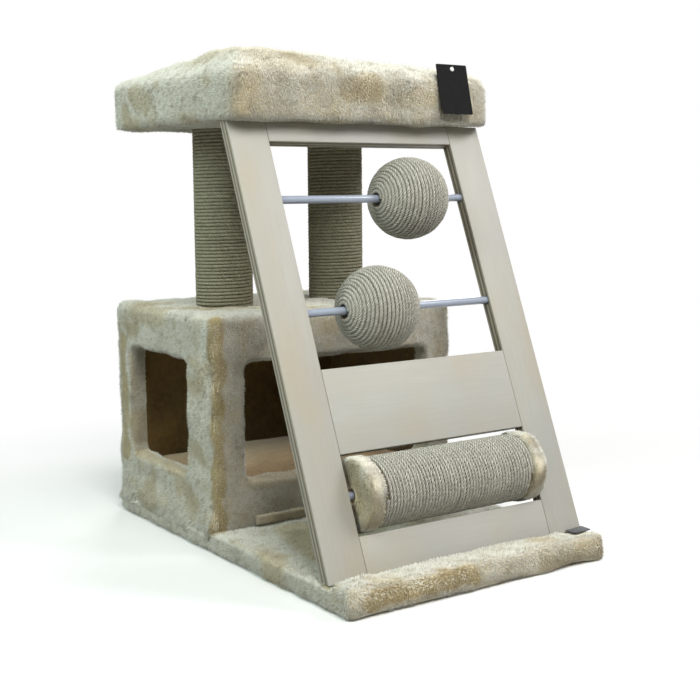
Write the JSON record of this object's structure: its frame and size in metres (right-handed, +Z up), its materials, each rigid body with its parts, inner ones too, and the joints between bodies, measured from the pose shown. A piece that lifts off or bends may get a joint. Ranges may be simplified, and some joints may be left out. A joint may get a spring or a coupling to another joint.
{
  "type": "ball track cat scratcher",
  "caption": "Plush cat scratcher: cabin with cushion under a padded platform on rope posts, and a leaning plywood frame with sliding rope balls on rods and a turning rope roller.",
  "frame": {"origin": "on the floor, under the middle of the base", "axes": "+Z up, +Y towards the back, +X to the right seen from the front"},
  "size_m": [0.38, 0.565, 0.6036],
  "materials": {
    "plush": "cream long-pile plush",
    "lining": "tan short-pile plush",
    "cushion": "tan brushed fleece",
    "board": "bare particle board and turned beech",
    "plywood": "sanded birch plywood",
    "foam": "open-cell foam",
    "sisal": "natural laid sisal rope",
    "paper_tube": "wound kraft paper",
    "rod": "satin pale grey",
    "steel": "zinc plated",
    "plastic": "natural white",
    "card": "blank dark card",
    "woven": "blank dark woven ribbon"
  },
  "bodies": {
    "stand": {"base_board": "board", "base_cover": "plush", "cabin_left_wall": "board", "cabin_right_wall": "board", "cabin_front_wall": "board", "cabin_back_wall": "board", "cabin_roof": "board", "cabin_cover": "plush", "cabin_lining": "lining", "cabin_foot_strip": "plush", "cabin_cushion": "cushion", "left_post_tube": "paper_tube", "left_post_lower_plug": "board", "left_post_upper_plug": "board", "left_post_rope": "sisal", "left_post_lower_bolt": "steel", "left_post_upper_bolt": "steel", "right_post_tube": "paper_tube", "right_post_lower_plug": "board", "right_post_upper_plug": "board", "right_post_rope": "sisal", "right_post_lower_bolt": "steel", "right_post_upper_bolt": "steel", "platform_board": "board", "platform_pad": "foam", "platform_cover": "plush", "left_stile": "plywood", "left_foot_screw": "steel", "left_head_screw": "steel", "right_stile": "plywood", "right_foot_screw": "steel", "right_head_screw": "steel", "bottom_rail": "plywood", "bottom_rail_left_dowel": "board", "bottom_rail_right_dowel": "board", "mid_panel": "plywood", "mid_panel_left_dowel": "board", "mid_panel_right_dowel": "board", "top_rail": "plywood", "top_rail_left_dowel": "board", "top_rail_right_dowel": "board", "upper_rod": "rod", "lower_rod": "rod", "roller_axle": "rod", "tag_pin": "plastic", "woven_tab": "woven"},
    "upper_ball_slider": {"upper_ball_sleeve": "plastic"},
    "upper_ball": {"upper_ball_core": "foam", "upper_ball_rope": "sisal"},
    "lower_ball_slider": {"lower_ball_sleeve": "plastic"},
    "lower_ball": {"lower_ball_core": "foam", "lower_ball_rope": "sisal"},
    "roller": {"roller_tube": "paper_tube", "roller_rope": "sisal", "roller_left_disc": "board", "roller_right_disc": "board", "roller_left_cap": "plush", "roller_right_cap": "plush"},
    "tag": {"hang_tag": "card"}
  },
  "joints": [
    {"name": "upper_ball_slide", "type": "slide", "parent": "stand", "child": "upper_ball_slider", "axis": [1, 0, 0], "range_m": [-0.1355, 0.0335]},
    {"name": "upper_ball_spin", "type": "hinge", "parent": "upper_ball_slider", "child": "upper_ball", "pos_m": [0.051, -0.07148, 0.42588], "axis": [1, 0, 0], "continuous": true},
    {"name": "lower_ball_slide", "type": "slide", "parent": "stand", "child": "lower_ball_slider", "axis": [1, 0, 0], "range_m": [-0.0515, 0.1175]},
    {"name": "lower_ball_spin", "type": "hinge", "parent": "lower_ball_slider", "child": "lower_ball", "pos_m": [-0.033, -0.12294, 0.30041], "axis": [1, 0, 0], "continuous": true},
    {"name": "roller_spin", "type": "hinge", "parent": "stand", "child": "roller", "pos_m": [0, -0.20187, 0.10797], "axis": [1, 0, 0], "continuous": true},
    {"name": "tag_swing", "type": "hinge", "parent": "stand", "child": "tag", "pos_m": [0.125, -0.06342, 0.58388], "axis": [0, 0.9781, -0.2079], "range_deg": [-75, 75]}
  ]
}
